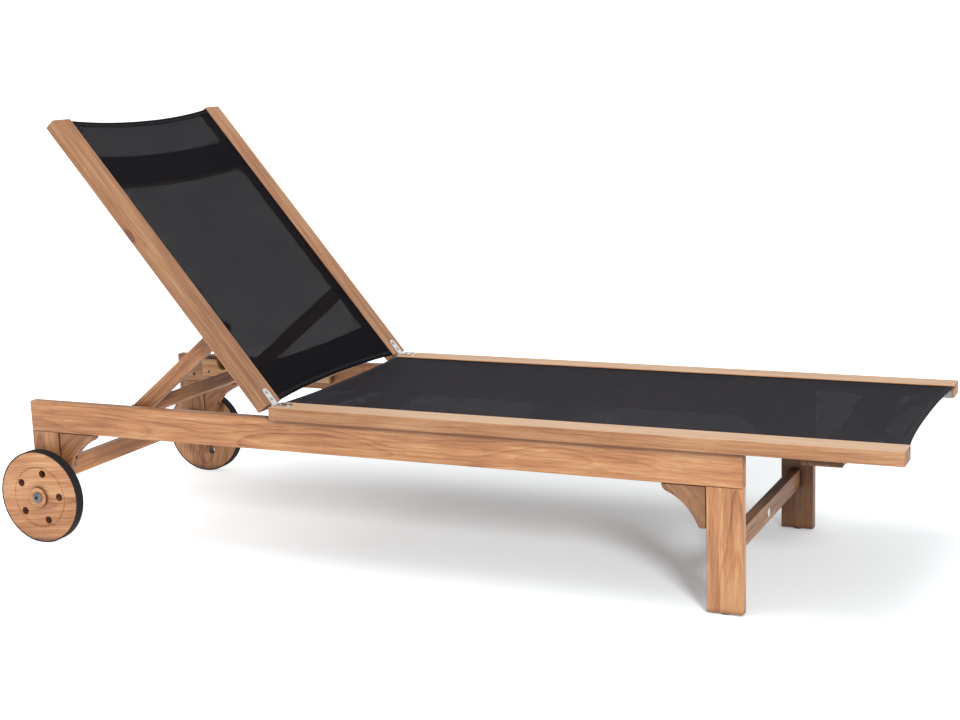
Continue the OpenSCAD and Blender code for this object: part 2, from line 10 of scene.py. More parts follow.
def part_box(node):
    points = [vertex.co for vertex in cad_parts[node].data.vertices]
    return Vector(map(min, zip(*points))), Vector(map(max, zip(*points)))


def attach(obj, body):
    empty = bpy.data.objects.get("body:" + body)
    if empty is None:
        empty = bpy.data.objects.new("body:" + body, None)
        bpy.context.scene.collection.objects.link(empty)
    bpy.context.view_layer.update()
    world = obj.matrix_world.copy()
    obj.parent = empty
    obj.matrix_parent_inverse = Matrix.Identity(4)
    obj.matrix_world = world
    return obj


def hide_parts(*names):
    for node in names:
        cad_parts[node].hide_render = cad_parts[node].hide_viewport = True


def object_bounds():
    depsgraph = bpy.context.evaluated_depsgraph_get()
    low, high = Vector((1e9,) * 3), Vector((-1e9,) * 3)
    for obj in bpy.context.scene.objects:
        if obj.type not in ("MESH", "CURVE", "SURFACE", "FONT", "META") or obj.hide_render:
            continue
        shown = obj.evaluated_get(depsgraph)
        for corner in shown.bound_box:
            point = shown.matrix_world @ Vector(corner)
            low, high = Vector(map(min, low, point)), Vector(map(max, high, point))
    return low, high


Y_AXIS = Vector((0, 1, 0))
Z_AXIS = Vector((0, 0, 1))

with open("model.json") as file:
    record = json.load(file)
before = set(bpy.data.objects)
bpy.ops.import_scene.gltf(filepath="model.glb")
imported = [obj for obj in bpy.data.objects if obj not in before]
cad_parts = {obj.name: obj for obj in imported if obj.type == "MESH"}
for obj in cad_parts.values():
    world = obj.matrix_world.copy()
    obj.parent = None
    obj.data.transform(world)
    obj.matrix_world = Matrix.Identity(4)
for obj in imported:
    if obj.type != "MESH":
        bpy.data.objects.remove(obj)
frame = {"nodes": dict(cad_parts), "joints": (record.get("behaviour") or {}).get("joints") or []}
cad_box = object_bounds()
scene = bpy.context.scene
nodes = frame["nodes"]
joints = {j["name"]: j for j in frame["joints"]}


# ---- Places: the hinge read from the frame, the backrest's and the prop's angles given ----

HINGE = Vector(joints["backrest_hinge"]["pos_m"])
BACK_ANGLE = math.radians(50.5)
UP = Vector((-math.cos(BACK_ANGLE), 0, math.sin(BACK_ANGLE)))
FACE = Vector((math.sin(BACK_ANGLE), 0, math.cos(BACK_ANGLE)))
PROP_ANGLE = math.radians(39.2)


def middle(name):
    low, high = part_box(name)
    return (low + high) / 2


# ---- Node helpers ----


def new_material(name):
    mat = bpy.data.materials.new(name)
    mat.use_nodes = True
    mat.node_tree.nodes.clear()
    return mat, mat.node_tree


def put(socket, value, tree):
    if isinstance(value, bpy.types.NodeSocket):
        tree.links.new(value, socket)
    else:
        socket.default_value = value


def add(tree, kind, inputs=(), **settings):
    n = tree.nodes.new(kind)
    for key, value in settings.items():
        setattr(n, key, value)
    for key, value in dict(inputs).items():
        put(n.inputs[key], value, tree)
    return n


def calc(tree, operation, *values, clamp=False):
    n = tree.nodes.new("ShaderNodeMath")
    n.operation, n.use_clamp = operation, clamp
    for i, value in enumerate(values):
        put(n.inputs[i], value, tree)
    return n.outputs[0]


def fit(tree, value, low, high, to_low=0.0, to_high=1.0, smooth=False):
    n = tree.nodes.new("ShaderNodeMapRange")
    n.interpolation_type = "SMOOTHSTEP" if smooth else "LINEAR"
    for i, v in enumerate((value, low, high, to_low, to_high)):
        put(n.inputs[i], v, tree)
    return n.outputs[0]


def blend_colour(tree, share, a, b, mode="MIX"):
    n = tree.nodes.new("ShaderNodeMix")
    n.data_type, n.blend_type, n.clamp_factor = "RGBA", mode, True
    for i, v in ((0, share), (6, a), (7, b)):
        put(n.inputs[i], (*v, 1.0) if isinstance(v, tuple) and len(v) == 3 else v, tree)
    return n.outputs[2]


def multiplied(tree, colour, factor):
    return blend_colour(tree, 1.0, colour, factor, "MULTIPLY")


def noise_at(tree, where, scale, detail=2.0, rough=0.5, output=0):
    """Noise stretched by scale, given per axis, so that one unit is one feature."""
    sized = add(tree, "ShaderNodeVectorMath", {0: where, 1: scale}, operation="MULTIPLY")
    settings = {"Vector": sized.outputs[0], "Scale": 1.0, "Detail": detail, "Roughness": rough}
    return add(tree, "ShaderNodeTexNoise", settings).outputs[output]


def noise_along(tree, value, scale=1.0, detail=1.0):
    """Noise that changes along one number only."""
    settings = {"W": value, "Scale": scale, "Detail": detail}
    return add(tree, "ShaderNodeTexNoise", settings, noise_dimensions="1D").outputs[0]


def surface(tree, **values):
    shader = tree.nodes.new("ShaderNodeBsdfPrincipled")
    for key, value in values.items():
        put(shader.inputs[key.replace("_", " ")], value, tree)
    out = tree.nodes.new("ShaderNodeOutputMaterial")
    tree.links.new(shader.outputs[0], out.inputs[0])
    return shader


def bump(tree, height, distance, strength=1.0):
    n = add(tree, "ShaderNodeBump", {"Height": height, "Distance": distance, "Strength": strength})
    return n.outputs[0]


def local_place(tree, rotation, shift):
    """Object coordinates turned so that X runs along the grain, and moved by shift."""
    coord = tree.nodes.new("ShaderNodeTexCoord")
    place = {"Vector": coord.outputs["Object"], "Rotation": rotation, "Location": shift}
    turned = add(tree, "ShaderNodeMapping", place)
    normal = {"Vector": coord.outputs["Normal"], "Rotation": rotation}
    facing = add(tree, "ShaderNodeMapping", normal, vector_type="NORMAL")
    return turned.outputs[0], facing.outputs[0]


# ---- Teak ----

PALE = (0.56, 0.330, 0.167)
MID = (0.415, 0.188, 0.077)
DARK = (0.195, 0.070, 0.028)
# Paler colour painted onto faces that look up: painted light from above
TOP_LIGHT_COLOUR = (0.70, 0.475, 0.30)
# One year's growth
RING = 0.0052


def along(direction):
    """Euler angles that turn this direction in the XZ plane, or Y, to X."""
    d = Vector(direction)
    if abs(d.y) > 0.5:
        return (0.0, 0.0, -math.pi / 2)
    return (0.0, math.atan2(d.z, d.x), 0.0)


# How far the pith wanders along a board, in long swings and in small ones
SWING, SWING_FINE = 0.034, 0.0035
PORE = (0.24, 0.095, 0.042)
RED_TINT = (1.0, 0.90, 0.80)
SAWN_TINT = (0.66, 0.66, 0.62)
# Colour that the painted shade in joints and under overhangs darkens towards
PAINTED_SHADE_TINT = (0.22, 0.135, 0.09)


def pith_distance(t, place, moved, pith, tilt):
    """Distance from the tree's middle, which wanders along the board. Its rings show as the grain."""
    wander = noise_at(t, moved, (1.6, 5.0, 5.0), detail=2.0, output=1)
    wave = noise_at(t, moved, (7.0, 30.0, 30.0), detail=1.0, output=1)
    split = add(t, "ShaderNodeSeparateXYZ", {0: place})
    pull = add(t, "ShaderNodeSeparateXYZ", {0: wander})
    pull_fine = add(t, "ShaderNodeSeparateXYZ", {0: wave})
    squares = []
    for axis, offset, lean in ((1, pith[0], tilt), (2, pith[1], tilt * 0.4)):
        off = calc(t, "MULTIPLY_ADD", split.outputs[0], lean, offset)
        coarse = fit(t, pull.outputs[axis], 0.0, 1.0, -SWING, SWING)
        fine = fit(t, pull_fine.outputs[axis], 0.0, 1.0, -SWING_FINE, SWING_FINE)
        side = calc(t, "ADD", calc(t, "ADD", split.outputs[axis], off), calc(t, "ADD", coarse, fine))
        squares.append(calc(t, "MULTIPLY", side, side))
    return calc(t, "SQRT", calc(t, "ADD", *squares))


def knot_at(t, place, radius, knot):
    """Rings that bend round a knot, and how dark the knot is."""
    away = add(t, "ShaderNodeVectorMath", {0: place, 1: knot[:3]}, operation="SUBTRACT").outputs[0]
    longer = {0: away, 1: (0.45, 1.0, 1.0)}
    away = add(t, "ShaderNodeVectorMath", longer, operation="MULTIPLY").outputs[0]
    reach = add(t, "ShaderNodeVectorMath", {0: away}, operation="LENGTH").outputs["Value"]
    near = fit(t, reach, 0.0, knot[3] * 3.2, 1.0, 0.0, smooth=True)
    radius = calc(t, "ADD", radius, calc(t, "MULTIPLY", near, knot[3] * 1.5))
    return radius, fit(t, reach, knot[3] * 0.35, knot[3], 0.85, 0.0, smooth=True)


def growth_bands(t, radius, ring):
    """Dark late wood at the end of each year: some years are strong and some are faint."""
    year = calc(t, "DIVIDE", radius, ring)
    uneven = noise_along(t, calc(t, "MULTIPLY", year, 0.31))
    year = calc(t, "MULTIPLY_ADD", uneven, 2.2, year)
    part = calc(t, "FRACT", year)
    late = calc(t, "POWER", part, 2.6)
    bands = calc(t, "MULTIPLY", late, fit(t, part, 0.93, 1.0, 1.0, 0.0))
    strength = noise_along(t, calc(t, "FLOOR", year), scale=3.7, detail=0.0)
    return calc(t, "MULTIPLY", bands, fit(t, strength, 0.3, 0.7, 0.35, 1.0))


def wood_ramp(t, shade):
    ramp = t.nodes.new("ShaderNodeValToRGB")
    stops = ramp.color_ramp.elements
    stops[0].position, stops[0].color = 0.0, (*PALE, 1)
    stops[1].position, stops[1].color = 1.0, (*DARK, 1)
    stops.new(0.48).color = (*MID, 1)
    put(ramp.inputs[0], calc(t, "ADD", shade, 0.0, clamp=True), t)
    return ramp.outputs[0]


# Painted light: faces that look up are blended towards a paler colour, standing in for the light and sheen
# that fall on them from above
def painted_top_light(t, colour, top_light_share):
    normal = t.nodes.new("ShaderNodeTexCoord").outputs["Normal"]
    upward = add(t, "ShaderNodeSeparateXYZ", {0: normal}).outputs[2]
    share = fit(t, upward, 0.7, 0.97, 0.0, top_light_share, smooth=True)
    return blend_colour(t, share, colour, blend_colour(t, 0.6, colour, TOP_LIGHT_COLOUR))


def teak(name, grain, seed, pith, tilt, tone=0.0, dim=1.0, knot=None, top_light_share=0.0, nook=0.016):
    """Oiled teak for one board.

    pith is how far the tree's middle lies from the board's, and tilt how the board leans to it.
    tone lightens or darkens the figure, and dim the whole board: partly each board's own tone, and painted
    shade on boards that lie in shadow or face away from the light.
    knot is (along, across, up, radius) from the board's middle.
    bleach is how far the faces that look up are painted paler, as painted light from above.
    nook is how narrow a joint or hole has to be to get painted shade.
    """
    mat, t = new_material("teak_" + name)
    rotation = along(grain)
    turn = Matrix.Rotation(rotation[1], 3, "Y") @ Matrix.Rotation(rotation[2], 3, "Z")
    place, facing = local_place(t, rotation, -(turn @ middle(name)))
    drift = Vector((seed * 1.37, seed * 0.71, seed * 2.03))
    moved = add(t, "ShaderNodeVectorMath", {0: place, 1: drift}, operation="ADD").outputs[0]

    radius = pith_distance(t, place, moved, pith, tilt)
    knot_dark = None
    if knot:
        radius, knot_dark = knot_at(t, place, radius, knot)
    bands = growth_bands(t, radius, RING)

    # Fibres, pores and slow changes of tone
    fibre = noise_at(t, moved, (14.0, 420.0, 420.0), detail=3.0, rough=0.65)
    streak = noise_at(t, moved, (5.0, 110.0, 110.0), detail=4.0, rough=0.65)
    pores = noise_at(t, moved, (45.0, 800.0, 800.0), detail=1.0)
    pores = fit(t, pores, 0.57, 0.70, 0.0, 1.0)
    patch = noise_at(t, moved, (4.0, 17.0, 17.0), detail=3.0, rough=0.6)

    broken = fit(t, patch, 0.3, 0.7, 0.25, 1.0)
    shade = calc(t, "MULTIPLY", calc(t, "MULTIPLY", bands, 0.66), broken)
    shade = calc(t, "ADD", shade, fit(t, streak, 0.3, 0.7, -0.30, 0.30))
    shade = calc(t, "ADD", shade, fit(t, patch, 0.25, 0.75, -0.22, 0.22))
    shade = calc(t, "ADD", shade, fit(t, fibre, 0.3, 0.7, -0.12, 0.14))
    shade = calc(t, "ADD", shade, 0.40 - tone)
    if knot_dark is not None:
        shade = calc(t, "ADD", shade, knot_dark)
    colour = wood_ramp(t, shade)

    # Reddish and golden stretches, and the pores
    warm = noise_at(t, moved, (1.1, 4.0, 4.0), detail=1.0)
    warm = fit(t, warm, 0.35, 0.65, 0.0, 0.5)
    colour = blend_colour(t, warm, colour, multiplied(t, colour, RED_TINT))
    colour = blend_colour(t, calc(t, "MULTIPLY", pores, 0.34), colour, PORE)
    # dim: each board's own tone, and painted shade on boards that lie in shadow
    colour = multiplied(t, colour, (dim, dim, dim))
    # Painted light on the faces that look up
    if top_light_share:
        colour = painted_top_light(t, colour, top_light_share)

    # Sawn ends are darker and greyer
    end = add(t, "ShaderNodeSeparateXYZ", {0: facing}).outputs[0]
    end = fit(t, calc(t, "ABSOLUTE", end), 0.90, 0.98)
    colour = blend_colour(t, calc(t, "MULTIPLY", end, 0.75), colour, multiplied(t, colour, SAWN_TINT))

    # Painted shade: ambient occlusion darkens joints, holes and faces under overhangs towards a dark brown,
    # standing in for the shade that falls there
    corner = add(t, "ShaderNodeAmbientOcclusion", {"Distance": nook}, samples=8).outputs["AO"]
    painted_shade = fit(t, corner, 0.48, 0.95, 0.94, 0.0)
    colour = blend_colour(t, painted_shade, colour, multiplied(t, colour, PAINTED_SHADE_TINT))

    rough = fit(t, streak, 0.3, 0.7, 0.40, 0.54)
    rough = calc(t, "ADD", rough, calc(t, "MULTIPLY", end, 0.2))
    grooves = calc(t, "ADD", calc(t, "MULTIPLY", fibre, 0.5), calc(t, "MULTIPLY", pores, -0.9))
    grooves = calc(t, "ADD", grooves, calc(t, "MULTIPLY", bands, -0.25))
    shader = surface(t, Base_Color=colour, Roughness=rough, Normal=bump(t, grooves, 0.00035, 0.6))
    shader.inputs["Specular IOR Level"].default_value = 0.42
    return mat


# ---- Metals, rubber and plastic ----


SCRATCH_ROUGH = 0.075


def metal(name, colour, rough, lengthwise=(1, 0, 0)):
    """Brushed metal: fine scratches along one direction, dull patches and a little grime."""
    mat, t = new_material(name)
    place, _ = local_place(t, along(lengthwise), (0, 0, 0))
    scratch = noise_at(t, place, (35.0, 2600.0, 2600.0), detail=3.0, rough=0.7)
    cloud = noise_at(t, place, (60.0, 60.0, 60.0), detail=4.0, rough=0.6)
    shade = calc(t, "ADD", fit(t, scratch, 0.3, 0.7, -0.10, 0.10), fit(t, cloud, 0.3, 0.7, -0.10, 0.08))
    dull = tuple(c * 0.62 for c in colour)
    tint = blend_colour(t, calc(t, "ADD", 0.4, shade, clamp=True), colour, dull)
    scratched = fit(t, scratch, 0.3, 0.7, -SCRATCH_ROUGH, SCRATCH_ROUGH)
    clouded = fit(t, cloud, 0.3, 0.8, 0.0, 0.16)
    roughness = calc(t, "ADD", rough, calc(t, "ADD", scratched, clouded))
    surface(t, Base_Color=tint, Metallic=1.0, Roughness=roughness, Normal=bump(t, scratch, 0.00008, 0.5))
    return mat


def rubber(name, colour, rough, dust_share=0.6):
    mat, t = new_material(name)
    coord = t.nodes.new("ShaderNodeTexCoord").outputs["Object"]
    grain = noise_at(t, coord, (900.0, 900.0, 900.0), detail=2.0)
    dust = noise_at(t, coord, (22.0, 22.0, 22.0), detail=5.0, rough=0.65)
    pale = tuple(min(1.0, c * 2.1 + 0.012) for c in colour)
    tint = blend_colour(t, fit(t, dust, 0.42, 0.72, 0.0, dust_share), colour, pale)
    shader = surface(
        t,
        Base_Color=tint,
        Roughness=fit(t, dust, 0.3, 0.7, rough - 0.1, rough + 0.1),
        Normal=bump(t, grain, 0.0003, 0.5),
    )
    shader.inputs["Specular IOR Level"].default_value = 0.25
    return mat


# ---- Woven sling ----

YARN = 0.0017
# How high a yarn is where it passes under another, with 1 where it passes over
UNDER = 0.72


BACK_YARN = ((0.0032, 0.0029, 0.0039), (0.0072, 0.0064, 0.0083))
# The seat is the same mesh as the back, painted lighter: painted sheen where the seat is seen at a low
# angle. Its hem is lighter again: a painted highlight on the hem's flat top.
SEAT_YARN_WITH_SHEEN = ((0.0088, 0.0080, 0.0101), (0.0200, 0.0182, 0.0225))
SEAT_HEM_YARN_WITH_HIGHLIGHT = ((0.010, 0.0095, 0.0110), (0.024, 0.0225, 0.0265))


def weave(name, rotation, open_share=0.0, yarn=BACK_YARN, gloss=0.02):
    """Coated polyester mesh: a plain weave of thick yarns with small holes between them.

    yarn is the colour in the dips and on the crowns, the dips painted darker and the crowns lighter as
    painted shade and highlight on the weave, and open_share the holes' share of the area.
    """
    mat, t = new_material(name)
    coord = t.nodes.new("ShaderNodeTexCoord")
    place = {"Vector": coord.outputs["Object"], "Rotation": rotation}
    turned = add(t, "ShaderNodeMapping", place).outputs[0]
    split = add(t, "ShaderNodeSeparateXYZ", {0: turned})
    waves = []
    for axis in (0, 1):
        phase = calc(t, "MULTIPLY", split.outputs[axis], math.pi / YARN)
        waves.append(calc(t, "SINE", phase))
    over = fit(t, calc(t, "MULTIPLY", waves[0], waves[1]), -0.12, 0.12)
    warp, weft = (calc(t, "ABSOLUTE", w) for w in waves)
    warp_height = calc(t, "MULTIPLY", warp, fit(t, over, 0, 1, UNDER, 1.0))
    weft_height = calc(t, "MULTIPLY", weft, fit(t, over, 0, 1, 1.0, UNDER))
    height = calc(t, "MAXIMUM", warp_height, weft_height)
    # Slubs: single yarns that are a little lighter or darker, along and across
    across = noise_at(t, turned, (310.0, 5.0, 5.0), detail=2.0, rough=0.7)
    lengthwise = noise_at(t, turned, (4.0, 260.0, 5.0), detail=2.0, rough=0.7)
    slub = calc(t, "ADD", fit(t, across, 0.3, 0.7, -0.35, 0.35), fit(t, lengthwise, 0.3, 0.7, -0.2, 0.2))
    # Painted highlight on the yarn crowns and painted shade in the dips, with the slubs' own tone added
    crown_highlight_and_slub = calc(t, "ADD", calc(t, "MULTIPLY", height, 0.6), slub)
    tint = blend_colour(t, calc(t, "ADD", crown_highlight_and_slub, 0.0, clamp=True), *yarn)
    rough = fit(t, height, 0.2, 1.0, 0.85, 0.68)
    shader = surface(t, Base_Color=tint, Roughness=rough, Normal=bump(t, height, 0.0004, 0.55))
    shader.inputs["Specular IOR Level"].default_value = gloss
    if open_share:
        gap = math.sin(math.sqrt(open_share) * math.pi / 2)
        between = [fit(t, w, gap * 0.8, gap * 1.2, 1.0, 0.0) for w in (warp, weft)]
        put(shader.inputs["Alpha"], calc(t, "SUBTRACT", 1.0, calc(t, "MULTIPLY", *between)), t)
    return mat


# ---- Materials on the CAD nodes ----

PROP = Vector((math.cos(PROP_ANGLE), 0, math.sin(PROP_ANGLE)))
DIAGONAL = Vector((1, 0, 1))
# Where dim is lowest it is painted shade: the far foot leg, the foot slat (with its tone), the near foot
# bracket, the foot stretcher and the back rails lie in shadow or face away from the light. Elsewhere dim is
# mostly each board's own tone. The near lower rail's wider nook widens the painted shade under the seat
# rail.
BOARDS = {
    "lower_rail_right": dict(
        grain=(1, 0, 0), seed=3, pith=(0.050, 0.012), tilt=0.012,
        tone=0.00, dim=0.86, nook=0.028,
    ),
    "lower_rail_left": dict(
        grain=(1, 0, 0), seed=11, pith=(-0.055, -0.010), tilt=-0.014,
        tone=-0.05, dim=0.80,
    ),
    "head_leg_right": dict(grain=(0, 0, 1), seed=5, pith=(0.06, -0.02), tilt=0.05, tone=-0.10, dim=0.84),
    "head_leg_left": dict(grain=(0, 0, 1), seed=17, pith=(-0.05, 0.03), tilt=-0.04, tone=-0.12, dim=0.78),
    "foot_leg_right": dict(grain=(0, 0, 1), seed=8, pith=(0.052, 0.015), tilt=0.05, tone=0.02, dim=0.86),
    "foot_leg_left": dict(grain=(0, 0, 1), seed=23, pith=(-0.06, -0.01), tilt=0.04, tone=-0.15, dim=0.38),
    "head_stretcher": dict(grain=Y_AXIS, seed=29, pith=(0.05, 0.03), tilt=0.03, tone=-0.18),
    "foot_stretcher": dict(grain=Y_AXIS, seed=31, pith=(-0.06, 0.02), tilt=0.02, tone=-0.12, dim=0.68),
    "head_bracket_right": dict(grain=DIAGONAL, seed=37, pith=(0.06, 0.02), tilt=0.1, tone=-0.15, dim=0.70),
    "head_bracket_left": dict(grain=DIAGONAL, seed=41, pith=(0.06, 0.02), tilt=0.1, tone=-0.10, dim=0.80),
    "foot_bracket_right": dict(
        grain=(-1, 0, 1), seed=43, pith=(0.06, 0.02), tilt=0.1,
        tone=-0.12, dim=0.48,
    ),
    "foot_bracket_left": dict(grain=(-1, 0, 1), seed=47, pith=(0.06, 0.02), tilt=0.1, tone=-0.10, dim=0.68),
    "rack_left": dict(grain=(1, 0, 0), seed=53, pith=(0.05, 0.01), tilt=0.01, tone=0.35),
    "rack_right": dict(grain=(1, 0, 0), seed=59, pith=(-0.05, 0.01), tilt=0.01, tone=0.12),
    "seat_rail_right": dict(
        grain=(1, 0, 0), seed=61, pith=(0.075, -0.045), tilt=0.010,
        tone=0.06, dim=0.64, top_light_share=0.85,
    ),
    "seat_rail_left": dict(
        grain=(1, 0, 0), seed=67, pith=(-0.07, -0.04), tilt=-0.010,
        tone=0.08, dim=0.82, top_light_share=0.7,
    ),
    "seat_slat_head": dict(grain=Y_AXIS, seed=71, pith=(0.05, 0.05), tilt=0.02),
    "seat_slat_middle": dict(grain=Y_AXIS, seed=73, pith=(0.04, 0.05), tilt=0.02),
    "seat_slat_foot": dict(grain=Y_AXIS, seed=79, pith=(0.05, -0.05), tilt=0.02, tone=-0.20, dim=0.40),
    "back_rail_right": dict(
        grain=UP, seed=83, pith=(0.05, 0.05), tilt=0.016,
        knot=(0.085, -0.03, 0.006, 0.011), tone=-0.08, dim=0.60,
    ),
    "back_rail_left": dict(grain=UP, seed=89, pith=(-0.06, 0.05), tilt=-0.014, tone=0.00, dim=0.64),
    "back_slat_top": dict(grain=Y_AXIS, seed=97, pith=(0.05, 0.05), tilt=0.02),
    "back_slat_bottom": dict(grain=Y_AXIS, seed=101, pith=(0.05, 0.05), tilt=0.02),
    "prop_arm_right": dict(grain=PROP, seed=103, pith=(0.05, 0.02), tilt=0.03, tone=-0.10, dim=0.78),
    "prop_arm_left": dict(grain=PROP, seed=107, pith=(-0.05, 0.02), tilt=0.03, tone=-0.15, dim=0.76),
    "prop_crossbar": dict(grain=Y_AXIS, seed=109, pith=(0.04, 0.03), tilt=0.02, tone=-0.25),
    "wheel_right": dict(
        grain=(1, 0, 0.12), seed=113, pith=(0.05, 0.02), tilt=0.12,
        tone=-0.02, dim=0.92, nook=0.03,
    ),
    "wheel_left": dict(grain=(0.1, 0, 1), seed=127, pith=(-0.05, 0.02), tilt=0.12, tone=-0.02, nook=0.03),
}

steel = metal("brushed_steel", (0.78, 0.78, 0.77), 0.20)
pins = metal("turned_steel", (0.52, 0.52, 0.51), 0.34, lengthwise=Y_AXIS)
zinc = metal("zinc_bolt", (0.33, 0.34, 0.34), 0.42, lengthwise=Y_AXIS)
# Near-black steel for the rack screws and barrel nuts, also used for the painted-shade dot in each axle cap
dark_steel_and_hole_shade = metal("dark_steel_and_hole_shade", (0.10, 0.085, 0.07), 0.5, lengthwise=Y_AXIS)
screw_steel = metal("screw_steel", (0.42, 0.42, 0.41), 0.32)
aluminium = metal("satin_aluminium", (0.30, 0.305, 0.31), 0.45, lengthwise=Y_AXIS)
tyre = rubber("tyre_rubber", (0.0050, 0.0056, 0.0056), 0.82, dust_share=0.25)
glide = rubber("glide_plastic", (0.03, 0.03, 0.032), 0.5)
cord = weave("sling_cord", (0, 0, 0))

SHARED_FINISH = (
    (aluminium, "spreader_bar_head spreader_bar_foot"),
    (steel, "seat_leaf_left seat_leaf_right back_leaf_left back_leaf_right blank_badge"),
    (steel, "seat_hinge_screws back_hinge_screws bracket_screws leg_bolts frame_screws prop_screws"),
    (pins, "hinge_pins prop_pivot_bolts axle_bolt_left axle_bolt_right axle_spacers"),
    (pins, "hub_bush_left hub_bush_right"),
    (zinc, "axle_caps"),
    (dark_steel_and_hole_shade, "rack_screws barrel_nuts"),
    (tyre, "tyre_left tyre_right"),
    (glide, "foot_glides"),
    (cord, "seat_sling_cords back_sling_cords"),
)

FINISH = {name: mat for mat, names in SHARED_FINISH for name in names.split()}
for name, board in BOARDS.items():
    FINISH[name] = teak(name, **board)
for name, mat in FINISH.items():
    nodes[name].data.materials.clear()
    nodes[name].data.materials.append(mat)


# ---- Mesh helpers ----


def make(name, verts, faces, mat, body):
    mesh = bpy.data.meshes.new(name)
    mesh.from_pydata([tuple(v) for v in verts], [], faces)
    mesh.validate()
    mesh.materials.append(mat)
    mesh.polygons.foreach_set("use_smooth", [True] * len(mesh.polygons))
    obj = bpy.data.objects.new(name, mesh)
    scene.collection.objects.link(obj)
    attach(obj, body)
    return obj


class Panel:
    """One sling in its own frame: s runs along the rails, v is -1 to 1 across them, n is the upper side."""

    def __init__(self, start, end, half, origin, forward, normal, start_bow, end_bow, sag):
        self.start, self.end, self.half = start, end, half
        self.origin, self.forward, self.normal = origin, forward, normal
        self.start_bow, self.end_bow, self.sag = start_bow, end_bow, sag

    def level(self, s, v):
        share = (s - self.start) / (self.end - self.start)
        hollow = self.sag * (0.85 + 0.15 * math.sin(math.pi * share)) * (1 - v * v)
        quiver = 0.0007 * noise.noise(Vector((s * 5.0, v * 1.3, self.sag * 90))) * (1 - v**8)
        return -hollow + quiver

    def edge(self, which, v):
        bow = 1 - abs(v) ** 2.2
        return self.start + self.start_bow * bow if which == "start" else self.end - self.end_bow * bow

    def point(self, s, v, lift=0.0):
        across = Y_AXIS * (v * self.half)
        return self.origin + self.forward * s + across + self.normal * (self.level(s, v) + lift)


def slab_of(node, forward, normal, origin):
    """Extent of a CAD slab in another frame: along forward, across Y, and its middle along normal."""
    points = [v.co - origin for v in nodes[node].data.vertices]
    along_s = [p.dot(forward) for p in points]
    along_n = [p.dot(normal) for p in points]
    return min(along_s), max(along_s), max(p.y for p in points), (min(along_n) + max(along_n)) / 2


def sling(name, node, body, forward, normal, start_bow, end_bow, sag, mats):
    low, high, half, level = slab_of(node, forward, normal, HINGE)
    panel = Panel(low, high, half, HINGE + normal * level, forward, normal, start_bow, end_bow, sag)
    steps_s, steps_v = 96, 48
    verts, faces = [], []
    for i in range(steps_s + 1):
        for j in range(steps_v + 1):
            v = -1 + 2 * j / steps_v
            a, b = panel.edge("start", v), panel.edge("end", v)
            verts.append(panel.point(a + (b - a) * i / steps_s, v))
    for i in range(steps_s):
        for j in range(steps_v):
            k = i * (steps_v + 1) + j
            faces.append([k, k + steps_v + 1, k + steps_v + 2, k + 1])
    obj = make(name, verts, faces, mats[0], body)
    for which, sign in (("start", 1), ("end", -1)):
        hem(f"{name}_hem_{which}", panel, which, sign, mats[1], body)
        stitches(f"{name}_stitches_{which}", panel, which, sign, mats[2], body)
    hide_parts(node)


HEM_W, HEM_T, ROLL_R = 0.0125, 0.0011, 0.0021
# Where the band meets the lip, the step at its inner edge, and how far the lip stands past the sheet
LIP_END, STEP_W, STEP_T, LIP_OUT = 0.0045, 0.0008, 0.0003, 0.001


def hem(name, panel, which, sign, mat, body):
    """The folded edge: a round rolled lip, and a doubled band that ends in a small step."""
    lip = []
    for k in range(9):
        a = math.pi * (1.5 - k / 8)
        lip.append((ROLL_R + ROLL_R * math.cos(a), ROLL_R * math.sin(a)))
    top = [(LIP_END, HEM_T), (HEM_W, HEM_T), (HEM_W + STEP_W, STEP_T)]
    band = top + [(x, -n) for x, n in reversed(top)]
    # The loop runs round the lip, over the top of the band, and back along its underside
    loop = lip + band
    steps = 96
    verts, faces = [], []
    for j in range(steps + 1):
        v = -1 + 2 * j / steps
        base = panel.edge(which, v)
        for a, n in loop:
            verts.append(panel.point(base + sign * (a - LIP_OUT), v, n))
    m = len(loop)
    for j in range(steps):
        for k in range(m):
            q = [j * m + k, j * m + (k + 1) % m, (j + 1) * m + (k + 1) % m, (j + 1) * m + k]
            faces.append(q if sign > 0 else q[::-1])
    cap = list(range(m))
    faces.append(cap[::-1] if sign > 0 else cap)
    cap = [steps * m + k for k in range(m)]
    faces.append(cap if sign > 0 else cap[::-1])
    return make(name, verts, faces, mat, body)


def stitches(name, panel, which, sign, mat, body):
    """Two rows of thread, each stitch a small arched bar."""
    pitch, length, thick = 0.0042, 0.0031, 0.00042
    count = int(2 * panel.half * 0.97 / pitch)
    verts, faces = [], []
    ring = [(math.cos(math.pi / 3 * k), math.sin(math.pi / 3 * k)) for k in range(6)]
    for row in (0.0072, 0.0100):
        for i in range(count):
            v0 = (i - (count - 1) / 2) * pitch / panel.half
            first = len(verts)
            for k in range(5):
                arch = 1 - (2 * k / 4 - 1) ** 2
                r = thick * (0.35 + 0.65 * arch)
                v = v0 + (k / 4 - 0.5) * length / panel.half
                s = panel.edge(which, v) + sign * (row - LIP_OUT)
                c = panel.point(s, v, HEM_T + 0.00005 + 0.0003 * arch)
                for cx, cz in ring:
                    verts.append(c + panel.forward * (cx * r * 1.5) + panel.normal * (cz * r))
            for k in range(4):
                for m in range(6):
                    a, b = first + k * 6 + m, first + k * 6 + (m + 1) % 6
                    faces.append([a, b, b + 6, a + 6])
            faces.append([first + m for m in range(6)][::-1])
            faces.append([first + 24 + m for m in range(6)])
    return make(name, verts, faces, mat, body)


# ---- Slings ----

